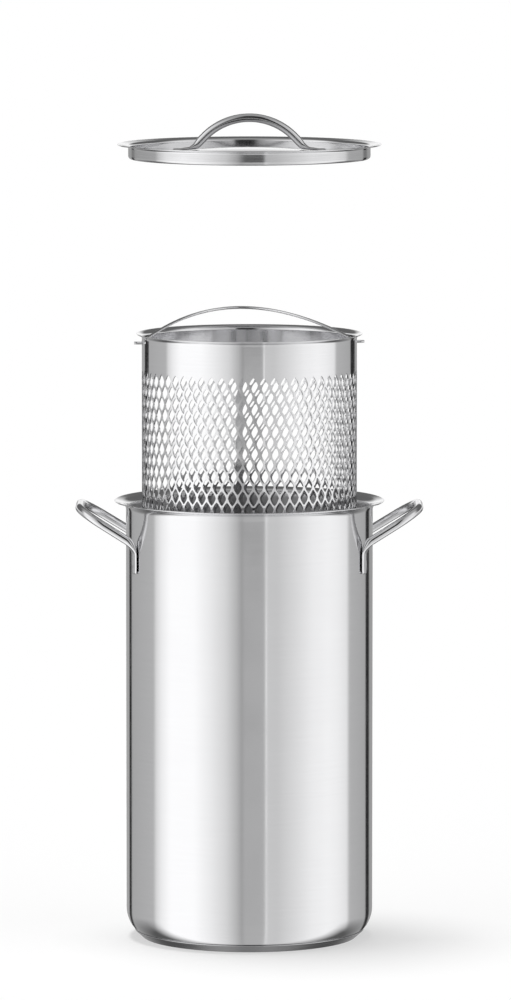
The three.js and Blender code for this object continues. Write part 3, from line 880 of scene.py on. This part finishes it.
def set_tone(nodes, shader, noise, colour, shade):
    """Varies the base colour with a noise, from a darker shade of it up to the colour itself."""
    tone = nodes.add("ShaderNodeMix", data_type="RGBA")
    nodes.join(nodes.from_noise(noise, 0, 1), tone.inputs["Factor"])
    tone.inputs["A"].default_value = (*[c * shade for c in colour], 1)
    tone.inputs["B"].default_value = (*colour, 1)
    nodes.join(tone.outputs["Result"], shader.inputs["Base Color"])


def set_bump(nodes, shader, noise, strength):
    """Raises the surface by a noise, too little to change its shape."""
    bump = nodes.add("ShaderNodeBump")
    bump.inputs["Strength"].default_value = strength
    bump.inputs["Distance"].default_value = BUMP_DISTANCE
    nodes.join(noise, bump.inputs["Height"])
    nodes.join(bump.outputs[0], shader.inputs["Normal"])


def turned_place(nodes, place):
    """Heading from the Z axis as a unit vector, distance from that axis, and height."""
    parts = nodes.add("ShaderNodeSeparateXYZ")
    nodes.join(place, parts.inputs[0])
    flat = nodes.add("ShaderNodeCombineXYZ")
    nodes.join(parts.outputs["X"], flat.inputs["X"])
    nodes.join(parts.outputs["Y"], flat.inputs["Y"])
    radius = nodes.add("ShaderNodeVectorMath", operation="LENGTH")
    nodes.join(flat.outputs[0], radius.inputs[0])
    heading = nodes.add("ShaderNodeVectorMath", operation="NORMALIZE")
    nodes.join(flat.outputs[0], heading.inputs[0])
    return heading.outputs[0], radius.outputs["Value"], parts.outputs["Z"]


def turned_lines(nodes, heading, radius, height, fineness):
    """A noise stretched into lines round the Z axis, on walls and on flat faces alike."""
    stretched = nodes.add("ShaderNodeVectorMath", operation="SCALE")
    nodes.join(heading, stretched.inputs[0])
    stretched.inputs["Scale"].default_value = GRAIN_LENGTH
    spun = nodes.add("ShaderNodeSeparateXYZ")
    nodes.join(stretched.outputs[0], spun.inputs[0])
    vector = nodes.add("ShaderNodeCombineXYZ")
    nodes.join(spun.outputs["X"], vector.inputs["X"])
    nodes.join(spun.outputs["Y"], vector.inputs["Y"])
    nodes.join(nodes.math("MULTIPLY", radius, fineness), vector.inputs["Z"])
    lines = nodes.add("ShaderNodeTexNoise", noise_dimensions="4D")
    nodes.join(vector.outputs[0], lines.inputs["Vector"])
    nodes.join(nodes.math("MULTIPLY", height, fineness), lines.inputs["W"])
    lines.inputs["Scale"].default_value = 1
    lines.inputs["Detail"].default_value = GRAIN_DETAIL
    lines.inputs["Roughness"].default_value = GRAIN_ROUGHNESS
    return lines.outputs["Fac"]


def inside_pot(nodes, radius, height):
    """1 on the satin inner wall of the pot, 0 on its polished outside."""
    within = nodes.math("LESS_THAN", radius, POT_INNER_RADIUS + SHEET / 2)
    above_corner = nodes.math("GREATER_THAN", height, POT_CORNER_RADIUS)
    return nodes.math("MULTIPLY", within, above_corner)


def turned_metal(name, colour, roughness, grain, fineness, anisotropy=0, dull_part=None, dullness=0):
    """Sheet with a turned grain: fine lines round the axis, and faint cloudy variation in gloss."""
    material, nodes, shader = new_metal(name)
    if anisotropy:
        shader.inputs["Anisotropic"].default_value = anisotropy
        shader.inputs["Anisotropic Rotation"].default_value = ACROSS_GRAIN
        tangent = nodes.add("ShaderNodeTangent", direction_type="RADIAL", axis="Z")
        nodes.join(tangent.outputs[0], shader.inputs["Tangent"])

    place = nodes.add("ShaderNodeTexCoord").outputs["Object"]
    heading, radius, height = turned_place(nodes, place)
    lines = turned_lines(nodes, heading, radius, height, fineness)
    clouds = nodes.noise(place, SHEET_CLOUD_SCALE, SHEET_CLOUD_DETAIL)
    set_tone(nodes, shader, lines, colour, 1 - GRAIN_SHADE * grain)
    line_gloss = nodes.from_noise(lines, *[roughness * share for share in GRAIN_GLOSS])
    gloss = nodes.math("ADD", line_gloss, nodes.from_noise(clouds, *SHEET_CLOUD_GLOSS))
    if dull_part:
        dulled = nodes.math("MULTIPLY", dull_part(nodes, radius, height), dullness)
        gloss = nodes.math("ADD", gloss, dulled)
    nodes.join(gloss, shader.inputs["Roughness"])
    set_bump(nodes, shader, lines, GRAIN_BUMP * grain)
    return material


def drawn_metal(name, colour, roughness):
    """Polished rod and wire: faint drawing marks and small variation in tone."""
    material, nodes, shader = new_metal(name)
    place = nodes.add("ShaderNodeTexCoord").outputs["Object"]
    marks = nodes.noise(place, MARK_SCALE, MARK_DETAIL)
    clouds = nodes.noise(place, ROD_CLOUD_SCALE, ROD_CLOUD_DETAIL)
    set_tone(nodes, shader, clouds, colour, ROD_SHADE)
    gloss = nodes.from_noise(marks, *[roughness * share for share in MARK_GLOSS])
    nodes.join(gloss, shader.inputs["Roughness"])
    set_bump(nodes, shader, marks, MARK_BUMP)
    return material


FINISHES = {
    "polished_steel": turned_metal(
        "polished", (0.80, 0.80, 0.81), roughness=0.10, grain=0.10, fineness=1600,
        anisotropy=0.4, dull_part=inside_pot, dullness=0.30,
    ),
    "lid_steel": turned_metal(
        "lid_grain", (0.79, 0.79, 0.80), roughness=0.09, grain=0.30, fineness=1300,
    ),
    # Base cap: its colour sits well below the other steel partly for its darker satin finish and partly
    # as painted shade, standing in for the floor's contact shadow that the cap mirrors.
    "base_steel": turned_metal(
        "base_grain_and_painted_shade", (0.55, 0.55, 0.56), roughness=0.22, grain=0.30, fineness=1300, anisotropy=0.4,
    ),
    "mesh_steel": turned_metal(
        "mesh_sheet", (0.81, 0.81, 0.82), roughness=0.07, grain=0.12, fineness=1500,
    ),
    "rod_steel": drawn_metal("drawn_rod", (0.80, 0.80, 0.81), roughness=0.11),
    "bare_aluminium": turned_metal(
        "core_metal", (0.76, 0.77, 0.78), roughness=0.35, grain=0.4, fineness=900,
    ),
}

add_piece("pot_shell", pot_shell(), "polished_steel", "pot", "pot_body")
add_piece("base_plate", base_plate(), "base_steel", "pot", "base_cap")
add_piece("right_loop", loop_handle(1), "rod_steel", "pot", "right_handle")
add_piece("left_loop", loop_handle(-1), "rod_steel", "pot", "left_handle")
add_piece("basket_sleeve", basket_sleeve(), "mesh_steel", "basket", "basket_wall")
add_piece("basket_base", basket_base(), "mesh_steel", "basket", "basket_floor")
add_piece("bail_wire", bail_wire(), "rod_steel", "bail", "bail")
add_piece("lid_dish", lid_dish(), "lid_steel", "lid", "lid_shell")
add_piece("lid_grip", lid_grip(), "rod_steel", "lid", "lid_handle")

core_slots = frame["nodes"]["base_core"].data.materials
core_slots.clear()
core_slots.append(FINISHES["bare_aluminium"])


# Stage

FLOOR_SIZE = 60
FLOOR_GREY = 0.92
FLOOR_GLOW_SHARE = 0.46
LAMP_AIM = Vector((0.075, -0.06, -1))
LAMP_SPREAD = 16 * DEGREE
LAMP_ENERGY = 2.0

FULL_CIRCLE = 360

# Brightness of the studio round the object, by compass angle from the camera, left negative:
# two wide softboxes with a grey gap between them, and narrow dark flags far round each side.
STUDIO = (
    (-180, 0.40), (-152, 0.42), (-150, 0.02), (-144.5, 0.02), (-142, 0.45), (-101, 0.54),
    (-97, 0.85), (-90, 1.06), (-79, 1.26), (-53, 1.25), (-37, 1.06), (-22, 0.84), (-11, 0.56),
    (-7, 0.42), (-4.5, 0.51), (14, 0.52), (15, 1.0), (16, 1.0), (16.8, 0.71), (26, 0.70),
    (45, 0.89), (61, 1.06), (78, 1.13), (90, 1.08), (103, 0.96), (107.5, 0.54), (134, 0.46),
    (138, 0.45), (140, 0.02), (148.5, 0.03), (150.5, 0.36), (180, 0.40),
)

# The same a little higher, as the skirt of the lid mirrors it: the gap is dark, the flags are pale.
UPPER_STUDIO = (
    (-180, 0.36), (-153, 0.38), (-149, 0.24), (-144, 0.24), (-140, 0.38), (-101, 0.46), (-96, 0.70),
    (-86, 0.98), (-66, 1.12), (-46, 1.02), (-22, 0.70), (-11, 0.42), (-7, 0.20), (-4, 0.03),
    (13.5, 0.03), (15.5, 0.55), (26, 0.60), (61, 0.92), (90, 0.92), (104, 0.78), (109, 0.47),
    (137, 0.44), (141, 0.22), (148, 0.22), (152, 0.36), (180, 0.40),
)

# Where wider flags stand at the height that the basket's plain band mirrors: 1 is a flag.
BAND_FLAGS = (
    (-180, 0), (-150, 0), (-148.5, 1), (-137.5, 1), (-136.5, 0),
    (138.5, 0), (139.5, 1), (153.5, 1), (155.5, 0), (180, 0),
)
FLAG_BLACK = 0.02
BACKDROP_LOW = 1.05
BACKDROP_HIGH = 0.14
CEILING = 0.4
UNDERNEATH = 0.11

# Where one part of the studio fades into the next, as parts of the unit direction towards it
BAND_FLAGS_Z = (-0.091, -0.088)
UPPER_STUDIO_Z = (-0.079, -0.067)
UNDERNEATH_Z = (-0.25, -0.6)
UNDERNEATH_Y = (0.08, 0.46)
HORIZON_Z = (0, 0.05)
BACKDROP_Z = (0.1, 0.25)
BACKDROP_Y = (-0.1, 0.3)
CEILING_Z = (0.7, 0.9)


def seen_directly(nodes):
    """1 for what the camera sees, 0 for what lights the object and shows in its polish."""
    path = nodes.add("ShaderNodeLightPath")
    return nodes.math("MAXIMUM", path.outputs["Is Camera Ray"], path.outputs["Is Transmission Ray"])


def studio_grey(nodes):
    """Brightness of the studio in every direction: walls, backdrop, ceiling and what is underneath."""
    parts = nodes.add("ShaderNodeSeparateXYZ")
    nodes.join(nodes.add("ShaderNodeTexCoord").outputs["Generated"], parts.inputs[0])
    x, y, z = parts.outputs
    half_compass = nodes.math("ARCTAN2", x, nodes.math("SUBTRACT", 1, y))
    turn_share = nodes.spread(half_compass, -QUARTER_TURN, QUARTER_TURN, 0, 1)
    lower, flags, upper = [
        nodes.ramp(turn_share, [(angle / FULL_CIRCLE + 0.5, grey) for angle, grey in stops])
        for stops in (STUDIO, BAND_FLAGS, UPPER_STUDIO)
    ]
    flagged = nodes.math("MULTIPLY", flags, nodes.fade(z, BAND_FLAGS_Z))
    lower = nodes.blend(flagged, lower, FLAG_BLACK)
    walls = nodes.blend(nodes.fade(z, UPPER_STUDIO_Z), lower, upper)
    under = nodes.math("MULTIPLY", nodes.fade(z, UNDERNEATH_Z), nodes.fade(y, UNDERNEATH_Y))
    low = nodes.blend(under, walls, UNDERNEATH)
    backdrop = nodes.spread(z, *BACKDROP_Z, BACKDROP_LOW, BACKDROP_HIGH)
    high = nodes.blend(nodes.fade(y, BACKDROP_Y), walls, backdrop)
    high = nodes.blend(nodes.fade(z, CEILING_Z), high, CEILING)
    return nodes.blend(nodes.fade(z, HORIZON_Z), low, high)


def build_world():
    """White where the camera looks past the object, and the studio in all that the object mirrors."""
    world = bpy.data.worlds.new("studio")
    bpy.context.scene.world = world
    world.use_nodes = True
    nodes = Nodes(world.node_tree)
    studio = nodes.add("ShaderNodeBackground")
    nodes.join(studio_grey(nodes), studio.inputs["Color"])
    white = nodes.add("ShaderNodeBackground")
    white.inputs["Color"].default_value = (1, 1, 1, 1)
    chosen = nodes.add("ShaderNodeMixShader")
    nodes.join(seen_directly(nodes), chosen.inputs[0])
    nodes.join(studio.outputs[0], chosen.inputs[1])
    nodes.join(white.outputs[0], chosen.inputs[2])
    output = nodes.add("ShaderNodeOutputWorld")
    nodes.join(chosen.outputs[0], output.inputs[0])


def build_floor():
    """A pale floor that keeps the soft shadow, and that the camera sees as almost white."""
    mesh = bpy.data.meshes.new("floor")
    half = FLOOR_SIZE / 2
    corners = [(-half, -half, 0), (half, -half, 0), (half, half, 0), (-half, half, 0)]
    mesh.from_pydata(corners, [], [[0, 1, 2, 3]])
    material = bpy.data.materials.new("floor_white")
    material.use_nodes = True
    nodes = Nodes(material.node_tree)
    lit = nodes.add("ShaderNodeBsdfDiffuse")
    lit.inputs["Color"].default_value = (FLOOR_GREY, FLOOR_GREY, FLOOR_GREY, 1)
    glow = nodes.add("ShaderNodeEmission")
    share = nodes.math("MULTIPLY", seen_directly(nodes), FLOOR_GLOW_SHARE)
    mixed = nodes.add("ShaderNodeMixShader")
    nodes.join(share, mixed.inputs[0])
    nodes.join(lit.outputs[0], mixed.inputs[1])
    nodes.join(glow.outputs[0], mixed.inputs[2])
    output = nodes.add("ShaderNodeOutputMaterial")
    nodes.join(mixed.outputs[0], output.inputs[0])
    mesh.materials.append(material)
    floor = bpy.data.objects.new("floor", mesh)
    bpy.context.scene.collection.objects.link(floor)
    floor.visible_glossy = False


def build_lamp():
    """A soft lamp almost straight above, which lights the floor and gives the soft shadow."""
    lamp = bpy.data.lights.new("softbox", "SUN")
    lamp.angle = LAMP_SPREAD
    lamp.energy = LAMP_ENERGY
    placed = bpy.data.objects.new("softbox", lamp)
    placed.rotation_euler = LAMP_AIM.to_track_quat("-Z", "Y").to_euler()
    placed.visible_glossy = False
    bpy.context.scene.collection.objects.link(placed)


def build_camera():
    """A long lens from far away, a little above the object and tilted down to it."""
    camera = bpy.data.cameras.new("camera")
    camera.lens = CAMERA_LENS_MM
    camera.sensor_width = SENSOR_LONG_SIDE_MM
    camera.clip_end = CAMERA_REACH
    placed = bpy.data.objects.new("camera", camera)
    placed.location = (CAMERA_SIDE, -CAMERA_DISTANCE, CAMERA_HEIGHT)
    placed.rotation_euler = (QUARTER_TURN - CAMERA_TILT, 0, 0)
    bpy.context.scene.collection.objects.link(placed)
    bpy.context.scene.camera = placed


build_world()
build_floor()
build_lamp()
build_camera()
bpy.context.scene.view_settings.view_transform = "Standard"
